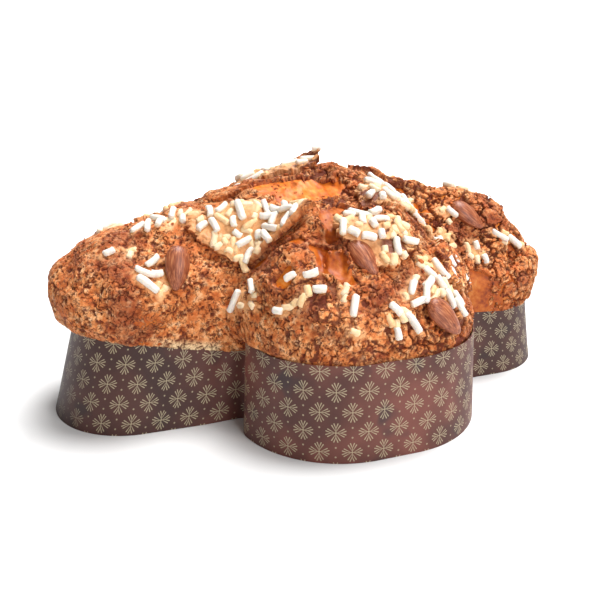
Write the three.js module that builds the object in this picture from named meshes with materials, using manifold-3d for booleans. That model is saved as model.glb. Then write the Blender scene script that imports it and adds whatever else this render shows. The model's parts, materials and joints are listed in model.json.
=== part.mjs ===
// A colomba: the dove-shaped festive cake, whole and uncut, standing in the paper case it is baked in.
// Millimetres, +Z up. The origin is on the underside of the case, below the middle of the dove. The tail
// points to -X, the head to +X, and the two wings reach out to -Y and +Y.
//
// The case is one folded paper tray. The cake fills it and swells over its rim: the dome, its cracked
// icing, the raised plates of icing and the sugar rods baked onto them are one solid. Each whole almond
// lies in its own hollow in the icing, as a piece of its own.

import * as THREE from "three";
import { mergeVertices } from "three/addons/utils/BufferGeometryUtils.js";
import Module from "manifold-3d";

const wasm = await Module();
wasm.setup();

const { clamp, degToRad, lerp, radToDeg, smoothstep } = THREE.MathUtils;

// ---- Driving dimensions ---------------------------------------------------------------------------

// The case's floor: a round-ended body along X, crossed by two broad wings.
const tailLength = 156; // from the origin to the end of the tail
const headLength = 154;
const bodyHalfWidth = 44;
const wingReach = 112; // from the origin to the end of a wing
const wingHalfWidth = 69;
const wingCorner = 58; // radius of the wings' round corners
const wingShift = 5.5; // the wings sit this much towards the head
const wingPinch = 16; // how much the wings narrow on either side towards the body
const pinchFrom = 66; // they start to narrow this far from the body's axis
const pinchTo = 30;
const notchBlend = 9; // rounds the four notches between body and wings
const crustBlend = 15; // the same for the crust, which bulges over the notches

// How sharply the shape changes from wings to tail and from wings to head.
const tailShare = { gain: 1.3, power: 4 };
const headShare = { gain: 1.2, power: 6 };

// The paper case. Its walls lean inwards from floor to rim, most of all at the tail.
const caseHeight = 53;
const paper = 0.9;
const leanTail = 15;
const leanHead = 9;
const leanWing = 1.5;
const leanPower = 4; // the extra lean dies out fast away from tail and head

// The dome of the cake above the rim.
const crownHeight = 126; // height of the ridges where they cross, before the valleys are softened
const crownRound = 27; // radius over which the crown rounds off
const slopeWing = 0.2; // fall of the dome's ridge for each millimetre outwards
const slopeHead = 0.22;
const slopeTail = 0.24;
const fullWing = 0.6; // how bluntly the dome's edge turns down: less is fuller
const fullHead = 0.95;
const fullTail = 0.4;
const wingPillow = 64; // depth in from a wing's edge at which its pillow is full
const lobeBlend = 24; // softens the valleys where body and wings meet

// The crust's edge: it hangs over the rim at tail and head, and ends inside the rim at the wings.
const overTail = 11.5;
const overHead = 8.5;
const overWing = -2;
const wideTail = 66; // height of the crust's widest line
const wideHead = 61;
const wideWing = 53.6;
const lipHeight = 52; // height of the lip's lower edge where it hangs least
const lipDroop = 12; // how much lower the lip hangs beside the notches
const lipOut = 1.6; // the lip's lower edge stands this far off the wall
const hangFrom = 4; // the lip hangs outside the case where the crust reaches this far over the rim
// Where the droop starts, is full, starts to end and has ended, in degrees from the end of the tail.
const tailDroop = { start: 14, full: 33, wane: 38, gone: 43 };
// The same from the end of the head, where the lip droops a little at the very end too.
const headDroop = { start: 10, full: 25, wane: 36, gone: 42, least: 0.65 };

// Relief of the cracked icing.
const swell = { size: 34, height: 3.2 }; // broad uneven swells
const crag = { size: 12, height: 2.8 }; // crags of the cracked icing
const settle = 1.5; // the crust settled by this much everywhere but at its edge
const settleFrom = 22;
const rimFade = 9; // relief dies out this close to the wings' rim, where paper holds the crust
const patchCore = 0.55; // share of a hollow that is fully deep

// Toppings.
const clearance = 0.3; // between any two separate pieces
const plateThickness = 3.2; // raised plates of icing
const plateSink = 2.2;
const plateWaves = { few: 3, deep: 0.16, many: 7, shallow: 0.1 }; // waves of a plate's uneven outline
const rodRadius = 1.75; // sugar rods
const rodSides = 5;
const rodLength = { least: 6.5, most: 10.5 };
const rodSpacing = 5.2;
const rodSink = 0.45; // part of the radius that is sunk in the icing
const rodTries = 40; // places tried for each rod
const strewnShare = 0.92; // rods keep to this share of their patch
const almondSize = { length: 24, width: 12.5, thickness: 8, taper: 0.3 };
const almondSink = 1.2; // how far the middle of an almond lies above the icing
const almondRoom = 10; // rods keep this far from an almond's middle

// How finely the solids are divided.
const crustCells = 30;
const lipRows = 2;
const caseSteps = 4 * crustCells;
const plateCells = 4;
const crowding = 0.5; // draws the crust's rows towards the steep edge
const almondSegments = { round: 12, along: 9 };

// ---- Features of the crust, by where they lie in plan ----------------------------------------------

// Raised plates of icing: middle, half length, half width, turn in degrees, and how far one edge lifts
// off the dome, with that edge's direction. `rods` is how many sugar rods lie on the plate.
const plates = [
  { x: -47, y: -33, long: 33, wide: 12.5, turn: -28, lift: 6, edge: -50, rods: 16 },
  { x: -9, y: 13, long: 18, wide: 11, turn: -22, lift: 9, edge: 15, rods: 3 },
  { x: -51, y: 2, long: 14, wide: 6, turn: -32, lift: 1, edge: 60, rods: 0 },
  { x: 36, y: -33, long: 28, wide: 16, turn: 33, lift: 1.5, edge: -40, rods: 10 },
  { x: 6, y: -73, long: 19, wide: 14, turn: -25, lift: 1.5, edge: -30, rods: 10 },
  { x: 60, y: -40, long: 22, wide: 7, turn: 30, lift: 0.8, edge: -60, rods: 4 },
  { x: 54, y: -71, long: 19, wide: 9, turn: 50, lift: 0.8, edge: -40, rods: 0 },
  { x: -8, y: 56, long: 33, wide: 17, turn: 24, lift: 5, edge: 80, rods: 8 },
  { x: -78, y: 34, long: 20, wide: 8, turn: 12, lift: 1, edge: 100, rods: 4 },
  { x: 58, y: 34, long: 27, wide: 13, turn: -30, lift: 2.5, edge: 60, rods: 5 },
  { x: 52, y: 3, long: 27, wide: 7, turn: -6, lift: 3.5, edge: 84, rods: 0 },
];

// Sugar rods lying straight on the icing, in small groups. `heading` and `spread` are the way that a
// group's rods lie in plan, and how far they stray from it, in degrees.
const rodGroups = [
  { x: -90, y: -9, long: 18, wide: 5, turn: -8, heading: 80, spread: 120, rods: 5 },
  { x: -116, y: -23, long: 10, wide: 4, turn: 10, heading: 12, spread: 30, rods: 1 },
  { x: -101, y: -39, long: 6, wide: 6, turn: -40, heading: 0, spread: 60, rods: 4 },
  { x: -64, y: -51, long: 4, wide: 9, turn: 20, heading: 130, spread: 70, rods: 2 },
  { x: -56, y: -60, long: 4, wide: 5, turn: 0, heading: 90, spread: 20, rods: 1 },
  { x: -37, y: -82, long: 13, wide: 6, turn: -20, heading: 135, spread: 70, rods: 3 },
  { x: -17, y: -97, long: 2, wide: 5, turn: 10, heading: 40, spread: 30, rods: 1 },
  { x: -20, y: -104, long: 4, wide: 3, turn: 0, heading: 15, spread: 30, rods: 1 },
  { x: 7, y: -104, long: 9, wide: 4, turn: -5, heading: 125, spread: 60, rods: 3 },
  { x: 22, y: -97, long: 9, wide: 5, turn: 8, heading: 40, spread: 60, rods: 3 },
  { x: 38, y: -91, long: 13, wide: 7, turn: -20, heading: 145, spread: 40, rods: 5 },
  { x: 55, y: -70, long: 18, wide: 8, turn: 50, heading: 112, spread: 24, rods: 9 },
  { x: 96, y: -35, long: 8, wide: 4, turn: 0, heading: 120, spread: 40, rods: 2 },
  { x: 81, y: -22, long: 8, wide: 5, turn: 0, heading: 155, spread: 40, rods: 1 },
  { x: 122, y: -28, long: 9, wide: 3, turn: 10, heading: 165, spread: 30, rods: 2 },
  { x: 92, y: 2, long: 16, wide: 7, turn: 0, heading: 90, spread: 180, rods: 1 },
  { x: 118, y: 22, long: 16, wide: 9, turn: -20, heading: 90, spread: 180, rods: 2 },
  { x: 72, y: 70, long: 12, wide: 9, turn: -35, heading: 90, spread: 180, rods: 3 },
  { x: 22, y: 90, long: 20, wide: 9, turn: -12, heading: 90, spread: 180, rods: 3 },
  { x: -42, y: 78, long: 16, wide: 9, turn: 40, heading: 90, spread: 180, rods: 3 },
  { x: -118, y: 18, long: 15, wide: 8, turn: 25, heading: 90, spread: 180, rods: 2 },
];

// Bare patches where the icing has slid off and the dough shows lower: middle, half sizes, depth. The
// last one stands out: a smooth bulb of dough that has pushed up through the crack.
const hollows = [
  { x: 0, y: -34, long: 34, wide: 20, turn: -60, depth: 3 },
  { x: -20, y: -76, long: 17, wide: 8, turn: -75, depth: 3.5 },
  { x: 70, y: -42, long: 20, wide: 9, turn: 30, depth: 2 },
  { x: 18, y: 28, long: 18, wide: 10, turn: 20, depth: 2 },
  { x: -17, y: -83, long: 11, wide: 9, turn: -60, depth: -4.5 },
];

// Whole almonds: place, turn of the long axis in degrees, and size against the usual almond.
const almonds = [
  { x: -89, y: -38, turn: -112, scale: 1 },
  { x: -3, y: -83, turn: -63, scale: 0.96 },
  { x: 32, y: -102.5, turn: -14, scale: 1.02 },
  { x: 95, y: -21, turn: -35, scale: 1 },
  { x: -42, y: 66, turn: 128, scale: 0.98 },
  { x: 36, y: 66, turn: 40, scale: 1.03 },
  { x: 104, y: 27, turn: 62, scale: 0.95 },
];

// ---- The dove's outline ----------------------------------------------------------------------------

// The smaller of a and b, rounded off where they are within k of each other.
function smoothMin(a, b, k) {
  const h = clamp(0.5 + (0.5 * (b - a)) / k, 0, 1);
  return lerp(b, a, h) - k * h * (1 - h);
}

// Signed distances to the outlines of the body and of the wings, less than 0 inside. The wings narrow by
// `pinch` on either side towards the body.
function lobes(x, y, pinch) {
  const spine = (x < 0 ? tailLength : headLength) - bodyHalfWidth;
  const body = Math.hypot(Math.max(Math.abs(x) - spine, 0), y) - bodyHalfWidth;
  const narrowed = pinch * (1 - smoothstep(Math.abs(y), pinchTo, pinchFrom));
  const dx = Math.abs(x - wingShift) + narrowed - (wingHalfWidth - wingCorner);
  const dy = Math.abs(y) - (wingReach - wingCorner);
  const corner = Math.hypot(Math.max(dx, 0), Math.max(dy, 0));
  const wing = corner + Math.min(Math.max(dx, dy), 0) - wingCorner;
  return { body, wing };
}

// Distance from the axis to the dove's outline, found by halving.
const halvings = 30;
function outlineRadius(angle, pinch, blend) {
  let inside = 0;
  let outside = tailLength + headLength;
  for (let i = 0; i < halvings; i++) {
    const middle = (inside + outside) / 2;
    const { body, wing } = lobes(middle * Math.cos(angle), middle * Math.sin(angle), pinch);
    if (smoothMin(body, wing, blend) < 0) inside = middle;
    else outside = middle;
  }
  return inside;
}

// How much an angle belongs to the tail or to the head: 1 at the end, 0 at the wings.
function ends(angle) {
  const c = Math.cos(angle);
  return {
    tail: Math.min(1, tailShare.gain * Math.max(0, -c) ** tailShare.power),
    head: Math.min(1, headShare.gain * Math.max(0, c) ** headShare.power),
  };
}

// A value that differs between wings, tail and head.
function around(angle, wing, tail, head) {
  const e = ends(angle);
  return wing + (tail - wing) * e.tail + (head - wing) * e.head;
}

// How far the case's wall has leaned in at a height.
function lean(angle, z) {
  const c = Math.cos(angle);
  const toTail = (leanTail - leanWing) * Math.max(0, -c) ** leanPower;
  const toHead = (leanHead - leanWing) * Math.max(0, c) ** leanPower;
  return ((leanWing + toTail + toHead) * z) / caseHeight;
}

// Radius of the case's outer face at a height.
function wallRadius(angle, z) {
  return outlineRadius(angle, wingPinch, notchBlend) - lean(angle, z);
}

// Radius of the crust at its widest line.
function crustRadius(angle) {
  const overRim = around(angle, overWing, overTail, overHead);
  return outlineRadius(angle, 0, crustBlend) - lean(angle, caseHeight) + overRim;
}

// Height of the lip's lower edge: it droops beside the notches, where the dough ran over the rim.
function lipEdge(angle) {
  const fromTail = radToDeg(Math.abs(Math.atan2(Math.sin(angle), -Math.cos(angle))));
  const fromHead = 180 - fromTail;
  const tail = smoothstep(fromTail, tailDroop.start, tailDroop.full) *
    (1 - smoothstep(fromTail, tailDroop.wane, tailDroop.gone));
  const head = (1 - smoothstep(fromHead, headDroop.wane, headDroop.gone)) *
    lerp(headDroop.least, 1, smoothstep(fromHead, headDroop.start, headDroop.full));
  return lipHeight - lipDroop * (tail + head);
}

// ---- The crust's surface ---------------------------------------------------------------------------

// The smooth dome: two pillows, one over the body and one over the wings, joined softly.
function domeHeight(x, y) {
  const angle = Math.atan2(y, x);
  const shrink = outlineRadius(angle, 0, crustBlend) / crustRadius(angle);
  const { body, wing } = lobes(x * shrink, y * shrink, 0);
  const wide = around(angle, wideWing, wideTail, wideHead);
  const fall = around(angle, slopeWing, slopeTail, slopeHead) * (Math.hypot(x, y, crownRound) - crownRound);
  const full = around(angle, fullWing, fullTail, fullHead);
  const rise = crownHeight - fall - wide;
  const pillow = (depth, width) => (1 - (1 - clamp(depth / width, 0, 1)) ** 2) ** full;
  const overBody = rise * pillow(-body, bodyHalfWidth);
  const overWing = rise * pillow(-wing, wingPillow);
  return wide - smoothMin(-overBody, -overWing, lobeBlend);
}

// A number from 0 to 1 for each lattice point, always the same.
function latticeValue(i, j, k) {
  let h = Math.imul(i, 374761393) + Math.imul(j, 668265263) + Math.imul(k, 1274126177);
  h = Math.imul(h ^ (h >>> 13), 1103515245);
  h ^= h >>> 16;
  return (h >>> 0) / 4294967296;
}

// Smooth value noise from -1 to 1, with lattice points `size` apart.
function noise(point, size) {
  const corner = [point.x, point.y, point.z].map((v) => Math.floor(v / size));
  const part = [point.x, point.y, point.z].map((v, axis) => v / size - corner[axis]);
  const ease = part.map((t) => t * t * (3 - 2 * t));
  let sum = 0;
  for (let n = 0; n < 8; n++) {
    const step = [n & 1, (n >> 1) & 1, n >> 2];
    const weight = step.reduce((w, s, axis) => w * (s ? ease[axis] : 1 - ease[axis]), 1);
    sum += weight * latticeValue(corner[0] + step[0], corner[1] + step[1], corner[2] + step[2]);
  }
  return 2 * sum - 1;
}

// 1 in the middle of an oval patch, 0 outside it.
function within(patch, x, y) {
  const a = degToRad(patch.turn);
  const u = ((x - patch.x) * Math.cos(a) + (y - patch.y) * Math.sin(a)) / patch.long;
  const v = ((y - patch.y) * Math.cos(a) - (x - patch.x) * Math.sin(a)) / patch.wide;
  return 1 - smoothstep(Math.hypot(u, v), patchCore, 1);
}

// How far the real crust stands off the smooth dome.
function relief(point) {
  const sunk = hollows.reduce((depth, patch) => depth + patch.depth * within(patch, point.x, point.y), 0);
  const angle = Math.atan2(point.y, point.x);
  const fromEdge = crustRadius(angle) - Math.hypot(point.x, point.y);
  const fade = around(angle, smoothstep(fromEdge, 0, rimFade), 1, 1);
  const waves = swell.height * noise(point, swell.size) + crag.height * noise(point, crag.size);
  return fade * (waves - sunk) - settle * smoothstep(fromEdge, 0, settleFrom);
}

// The crust at a place in plan: its point and the dome's outward normal.
const probe = 0.5;
function crustAt(x, y) {
  const point = new THREE.Vector3(x, y, domeHeight(x, y));
  const normal = new THREE.Vector3(
    domeHeight(x - probe, y) - domeHeight(x + probe, y),
    domeHeight(x, y - probe) - domeHeight(x, y + probe),
    2 * probe,
  ).normalize();
  point.addScaledVector(normal, relief(point));
  return { point, normal };
}

// ---- Building solids -------------------------------------------------------------------------------

// Square-to-disc grid: the radius (0 to 1) and angle of each point, row by row.
function discGrid(cells) {
  const spots = [];
  for (let j = 0; j <= cells; j++) {
    for (let i = 0; i <= cells; i++) {
      const a = (2 * i) / cells - 1;
      const b = (2 * j) / cells - 1;
      const radius = Math.max(Math.abs(a), Math.abs(b));
      let angle = 0;
      if (radius > 0) {
        angle = Math.abs(a) > Math.abs(b)
          ? (Math.PI / 4) * (b / a) + (a < 0 ? Math.PI : 0)
          : Math.PI / 2 - (Math.PI / 4) * (a / b) + (b < 0 ? Math.PI : 0);
      }
      spots.push({ radius, angle });
    }
  }
  return spots;
}

// The grid's outer points, counter-clockwise.
function gridBorder(cells) {
  const side = cells + 1;
  const border = [];
  for (let i = 0; i < cells; i++) border.push(i);
  for (let j = 0; j < cells; j++) border.push(j * side + cells);
  for (let i = cells; i > 0; i--) border.push(cells * side + i);
  for (let j = cells; j > 0; j--) border.push(j * side);
  return border;
}

// Triangles of the grid, facing up, each square split along its shorter diagonal.
function gridFaces(points, cells) {
  const faces = [];
  for (let j = 0; j < cells; j++) {
    for (let i = 0; i < cells; i++) {
      const a = j * (cells + 1) + i;
      const b = a + 1;
      const c = a + cells + 2;
      const d = a + cells + 1;
      if (points[a].distanceTo(points[c]) < points[b].distanceTo(points[d])) faces.push(a, b, c, a, c, d);
      else faces.push(a, b, d, b, c, d);
    }
  }
  return faces;
}

// Triangles between two closed rows of points, the second below the first.
function bandFaces(upper, lower) {
  const faces = [];
  upper.forEach((a, i) => {
    const next = (i + 1) % upper.length;
    faces.push(a, lower[i], lower[next], a, lower[next], upper[next]);
  });
  return faces;
}

function geometryFrom(points, faces) {
  const geometry = new THREE.BufferGeometry().setFromPoints(points);
  geometry.setIndex(faces);
  return geometry;
}

// A geometry as a solid for joining and cutting.
function solid(geometry) {
  const bare = geometry.clone();
  bare.deleteAttribute("normal");
  bare.deleteAttribute("uv");
  const merged = mergeVertices(bare, 1e-4);
  return new wasm.Manifold(new wasm.Mesh({
    numProp: 3,
    vertProperties: new Float32Array(merged.attributes.position.array),
    triVerts: new Uint32Array(merged.index.array),
  }));
}

// The largest piece of a solid, without loose scraps, as a geometry.
function largestPiece(body) {
  const pieces = body.decompose();
  const largest = pieces.reduce((best, piece) => (piece.volume() > best.volume() ? piece : best));
  const mesh = largest.getMesh();
  const geometry = new THREE.BufferGeometry();
  geometry.setAttribute("position", new THREE.BufferAttribute(mesh.vertProperties, 3));
  geometry.setIndex(new THREE.BufferAttribute(mesh.triVerts, 1));
  return geometry;
}

// ---- Paper case ------------------------------------------------------------------------------------

// A tray with the case's outline, grown on every side by `grow`.
function caseGeometry(grow) {
  const ring = (radiusAt, z) => Array.from({ length: caseSteps }, (_, i) => {
    const angle = (2 * Math.PI * i) / caseSteps;
    const radius = radiusAt(angle);
    return new THREE.Vector3(radius * Math.cos(angle), radius * Math.sin(angle), z);
  });
  const floorTop = paper + grow;
  const rim = caseHeight + grow;
  const points = [
    ...ring((angle) => wallRadius(angle, floorTop) - paper - grow, floorTop),
    ...ring((angle) => wallRadius(angle, rim) - paper - grow, rim),
    ...ring((angle) => wallRadius(angle, rim) + grow, rim),
    ...ring((angle) => wallRadius(angle, -grow) + grow, -grow),
    new THREE.Vector3(0, 0, floorTop),
    new THREE.Vector3(0, 0, -grow),
  ];
  const row = (n) => Array.from({ length: caseSteps }, (_, i) => n * caseSteps + i);
  const faces = [];
  for (let n = 0; n < 3; n++) faces.push(...bandFaces(row(n), row(n + 1)));
  const top = points.length - 2;
  for (let i = 0; i < caseSteps; i++) {
    const next = (i + 1) % caseSteps;
    faces.push(top, i, next);
    faces.push(top + 1, 3 * caseSteps + next, 3 * caseSteps + i);
  }
  return geometryFrom(points, faces);
}

// ---- Cake ------------------------------------------------------------------------------------------

// The dough and its icing: the crust over a grid, the lip below its edge, and the plug in the case.
const plugStep = 0.01; // keeps the plug's top row clear of the lip's last one
function cakeBody() {
  const points = discGrid(crustCells).map(({ radius, angle }) => {
    const spread = lerp(radius, Math.sin((radius * Math.PI) / 2), crowding) * crustRadius(angle);
    if (radius < 1) return crustAt(spread * Math.cos(angle), spread * Math.sin(angle)).point;
    const wide = around(angle, wideWing, wideTail, wideHead);
    return new THREE.Vector3(spread * Math.cos(angle), spread * Math.sin(angle), wide);
  });
  const faces = gridFaces(points, crustCells);
  let upper = gridBorder(crustCells);
  const angles = upper.map((index) => Math.atan2(points[index].y, points[index].x));

  const addRow = (radiusAt, heightAt) => {
    const lower = angles.map((angle) => {
      const radius = radiusAt(angle);
      const x = radius * Math.cos(angle);
      const y = radius * Math.sin(angle);
      return points.push(new THREE.Vector3(x, y, heightAt(angle))) - 1;
    });
    faces.push(...bandFaces(upper, lower));
    upper = lower;
  };
  const midWall = (angle, z) => wallRadius(angle, z) - paper / 2;
  const hang = (angle) => smoothstep(around(angle, overWing, overTail, overHead), 0, hangFrom);
  const lipRadius = (angle) => midWall(angle, lipEdge(angle)) + (lipOut + paper / 2) * hang(angle);
  for (let n = 1; n <= lipRows; n++) {
    const turn = (n / lipRows) * (Math.PI / 2);
    addRow(
      (angle) => lerp(lipRadius(angle), crustRadius(angle), Math.cos(turn)),
      (angle) => lerp(around(angle, wideWing, wideTail, wideHead), lipEdge(angle), Math.sin(turn)),
    );
  }
  addRow((angle) => midWall(angle, lipEdge(angle)) - plugStep, lipEdge);
  addRow((angle) => midWall(angle, 0), () => 0);
  const foot = points.push(new THREE.Vector3(0, 0, 0)) - 1;
  upper.forEach((index, i) => faces.push(foot, upper[(i + 1) % upper.length], index));
  return geometryFrom(points, faces);
}

// How far a raised plate's free edge lifts off the crust, at a place given in the plate's half sizes.
function plateLift(plate, u, v) {
  const edge = degToRad(plate.edge - plate.turn);
  return plate.lift * Math.max(0, u * Math.cos(edge) + v * Math.sin(edge)) ** 2;
}

// A raised plate of icing that follows the crust, with an uneven outline and one lifting edge.
function plateGeometry(plate) {
  const a = degToRad(plate.turn);
  const spots = discGrid(plateCells);
  const skin = (offset) => spots.map(({ radius, angle }) => {
    const broad = plateWaves.deep * Math.sin(plateWaves.few * angle + plate.x);
    const ragged = 1 + broad + plateWaves.shallow * Math.sin(plateWaves.many * angle + plate.y);
    const u = radius * ragged * plate.long * Math.cos(angle);
    const v = radius * ragged * plate.wide * Math.sin(angle);
    const x = plate.x + u * Math.cos(a) - v * Math.sin(a);
    const y = plate.y + u * Math.sin(a) + v * Math.cos(a);
    const { point, normal } = crustAt(x, y);
    const lift = plateLift(plate, radius * Math.cos(angle), radius * Math.sin(angle));
    return point.addScaledVector(normal, lift + offset);
  });
  const points = [...skin(plateThickness), ...skin(-plateSink)];
  const below = (index) => index + spots.length;
  const top = gridFaces(points, plateCells);
  const faces = [...top];
  for (let i = 0; i < top.length; i += 3) faces.push(below(top[i]), below(top[i + 2]), below(top[i + 1]));
  const border = gridBorder(plateCells);
  faces.push(...bandFaces(border, border.map(below)));
  return geometryFrom(points, faces);
}

// The same row of seeded numbers from 0 to 1 each time.
function seededNumbers(seed) {
  let state = seed;
  return () => {
    state = (Math.imul(state, 1664525) + 1013904223) >>> 0;
    return state / 4294967296;
  };
}

// Turns a shape's Y axis along the crust, in direction `heading` in plan, and its Z axis to the normal.
function layOnCrust(geometry, x, y, heading, height) {
  const { point, normal } = crustAt(x, y);
  const along = new THREE.Vector3(Math.cos(heading), Math.sin(heading), 0);
  along.z = -(normal.x * along.x + normal.y * along.y) / normal.z;
  along.normalize();
  const across = new THREE.Vector3().crossVectors(along, normal);
  const frame = new THREE.Matrix4().makeBasis(across, along, normal);
  frame.setPosition(point.addScaledVector(normal, height));
  return geometry.applyMatrix4(frame);
}

// Sugar rods strewn over one patch, kept apart from each other and from the almonds. `riseAt` is how far
// the patch stands off the crust, at a place given in the patch's half sizes.
function strewRods(patch, heading, spread, riseAt, next, taken) {
  const a = degToRad(patch.turn);
  const rods = [];
  for (let tries = 0; rods.length < patch.rods && tries < rodTries * patch.rods; tries++) {
    const reach = strewnShare * Math.sqrt(next());
    const turn = 2 * Math.PI * next();
    const way = degToRad(heading + spread * (next() - 0.5));
    const length = lerp(rodLength.least, rodLength.most, next());
    const u = reach * Math.cos(turn);
    const v = reach * Math.sin(turn);
    const x = patch.x + u * patch.long * Math.cos(a) - v * patch.wide * Math.sin(a);
    const y = patch.y + u * patch.long * Math.sin(a) + v * patch.wide * Math.cos(a);
    const { point } = crustAt(x, y);
    const clear = taken.every((spot) => spot.point.distanceTo(point) > spot.reach);
    if (!clear) continue;
    taken.push({ point, reach: rodSpacing });
    const rod = new THREE.CylinderGeometry(rodRadius, rodRadius, length, rodSides);
    rods.push(layOnCrust(rod, x, y, way, riseAt(u, v) + rodRadius * (1 - rodSink)));
  }
  return rods;
}

function rodsOnPlate(plate, next, taken) {
  return strewRods(plate, 90, 180, (u, v) => plateThickness + plateLift(plate, u, v), next, taken);
}

function rodsOnCrust(group, next, taken) {
  return strewRods(group, group.heading, group.spread, () => 0, next, taken);
}

// ---- Almonds ---------------------------------------------------------------------------------------

// A whole almond, blunt at one end and pointed at the other, grown on every side by `grow`.
function almondGeometry(almond, grow) {
  const { length, width, thickness, taper } = almondSize;
  const geometry = new THREE.SphereGeometry(1, almondSegments.round, almondSegments.along);
  const position = geometry.attributes.position;
  for (let i = 0; i < position.count; i++) {
    const y = position.getY(i);
    const round = 1 - taper * y;
    position.setXYZ(
      i,
      position.getX(i) * round * ((width / 2) * almond.scale + grow),
      y * ((length / 2) * almond.scale + grow),
      position.getZ(i) * round * ((thickness / 2) * almond.scale + grow),
    );
  }
  return layOnCrust(geometry, almond.x, almond.y, degToRad(almond.turn), almondSink);
}

// ---- Putting it together ---------------------------------------------------------------------------

const next = seededNumbers(7);
const taken = almonds.map((almond) => ({ point: crustAt(almond.x, almond.y).point, reach: almondRoom }));
const toppings = [
  ...plates.map(plateGeometry),
  ...plates.flatMap((plate) => rodsOnPlate(plate, next, taken)),
  ...rodGroups.flatMap((patch) => rodsOnCrust(patch, next, taken)),
];
let cake = wasm.Manifold.union([solid(cakeBody()), ...toppings.map(solid)]);
cake = cake.subtract(solid(caseGeometry(clearance)));
for (const almond of almonds) cake = cake.subtract(solid(almondGeometry(almond, clearance)));

const crustFinish = new THREE.MeshStandardMaterial({ color: 0xb0703f, roughness: 0.75, metalness: 0 });
const paperFinish = new THREE.MeshStandardMaterial({ color: 0x5d3a36, roughness: 0.6, metalness: 0 });
const almondFinish = new THREE.MeshStandardMaterial({ color: 0x9a5238, roughness: 0.5, metalness: 0 });

const group = new THREE.Group();

function addPiece(name, geometry, finish) {
  const mesh = new THREE.Mesh(geometry, finish);
  mesh.name = name;
  group.add(mesh);
}

addPiece("cake", largestPiece(cake), crustFinish);
addPiece("paper_case", caseGeometry(0), paperFinish);
almonds.forEach((almond, i) => addPiece(`almond_${i + 1}`, almondGeometry(almond, 0), almondFinish));

export default group;
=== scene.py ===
import json
import math

import bpy
import numpy as np
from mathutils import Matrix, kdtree

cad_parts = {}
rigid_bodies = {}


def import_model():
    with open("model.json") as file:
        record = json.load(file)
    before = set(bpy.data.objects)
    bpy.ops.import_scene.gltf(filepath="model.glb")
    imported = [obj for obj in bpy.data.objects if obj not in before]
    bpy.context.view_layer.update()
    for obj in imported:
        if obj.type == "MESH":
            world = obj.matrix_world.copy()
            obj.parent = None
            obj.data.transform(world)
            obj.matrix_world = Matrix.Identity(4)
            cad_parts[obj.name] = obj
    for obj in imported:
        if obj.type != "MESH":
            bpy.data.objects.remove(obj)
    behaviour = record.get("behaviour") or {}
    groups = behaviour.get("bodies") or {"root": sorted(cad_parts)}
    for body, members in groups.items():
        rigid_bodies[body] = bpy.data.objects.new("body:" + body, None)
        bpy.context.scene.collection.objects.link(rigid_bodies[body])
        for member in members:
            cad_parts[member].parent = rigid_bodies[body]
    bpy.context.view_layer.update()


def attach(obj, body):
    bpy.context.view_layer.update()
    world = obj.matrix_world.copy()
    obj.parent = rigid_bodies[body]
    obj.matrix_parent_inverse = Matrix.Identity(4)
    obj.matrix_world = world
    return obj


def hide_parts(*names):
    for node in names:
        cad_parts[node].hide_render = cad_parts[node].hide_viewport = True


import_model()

# ---- Paper case ------------------------------------------------------------------------------------
# The stiff dark paper tray that the cake is baked and sold in, shaped like a dove: a long body crossed
# by two broad wings. It is pressed from one sheet, its walls lean in towards the rim and ripple softly,
# and pale gold sprigs are printed on it in staggered rows. All sizes are millimetres until to_metres.

MM = 0.001
TAIL_LENGTH, HEAD_LENGTH = 156.0, 154.0      # from the origin to either end
BODY_HALF_WIDTH = 44.0
WING_REACH, WING_HALF_WIDTH, WING_CORNER = 112.0, 69.0, 58.0
WING_SHIFT = 5.5                             # the wings sit this much towards the head
WING_PINCH, PINCH_TO, PINCH_FROM = 16.0, 30.0, 66.0    # how the case's wings narrow towards the body
NOTCH_BLEND, CRUST_BLEND = 9.0, 15.0         # rounds the notches of the case, and of the crust over it
CASE_HEIGHT = 53.0
LEAN_TAIL, LEAN_HEAD, LEAN_WING = 15.0, 9.0, 1.5
PAPER = 0.6
CASE_STEPS, CASE_ROWS = 480, 16
RIPPLE = 0.45
RIM_RIPPLE = 0.5
# Soft folds down the wall: direction from the middle in degrees, width in degrees, depth at the rim
FOLDS = [(-171, 5, 1.6), (-160, 4, -1.0), (-149, 1.6, -3.0), (-144, 2.0, 1.5), (-29, 4, 1.3),
         (-14, 5, -1.0), (24, 4, 1.2), (158, 5, 1.2), (172, 4, -1.0)]
BULGE = (-151, 7, 3.0)                       # one more, which is deepest at the floor


def smoothstep(v, low, high):
    t = np.clip((v - low) / (high - low), 0, 1)
    return t * t * (3 - 2 * t)


def smooth_min(a, b, k):
    h = np.clip(0.5 + 0.5 * (b - a) / k, 0, 1)
    return b + (a - b) * h - k * h * (1 - h)


def lobes(x, y, pinch):
    """Signed distances to the outlines of the body and of the wings, below 0 inside."""
    spine = np.where(x < 0, TAIL_LENGTH, HEAD_LENGTH) - BODY_HALF_WIDTH
    body = np.hypot(np.maximum(np.abs(x) - spine, 0), y) - BODY_HALF_WIDTH
    narrowed = pinch * (1 - smoothstep(np.abs(y), PINCH_TO, PINCH_FROM))
    dx = np.abs(x - WING_SHIFT) + narrowed - (WING_HALF_WIDTH - WING_CORNER)
    dy = np.abs(y) - (WING_REACH - WING_CORNER)
    corner = np.hypot(np.maximum(dx, 0), np.maximum(dy, 0))
    return body, corner + np.minimum(np.maximum(dx, dy), 0) - WING_CORNER


def outline_by_halving(angle, pinch, blend):
    inside, outside = np.zeros_like(angle), np.full_like(angle, TAIL_LENGTH + HEAD_LENGTH)
    for _ in range(30):
        middle = (inside + outside) / 2
        body, wing = lobes(middle * np.cos(angle), middle * np.sin(angle), pinch)
        contained = smooth_min(body, wing, blend) < 0
        inside, outside = np.where(contained, middle, inside), np.where(contained, outside, middle)
    return inside


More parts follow.
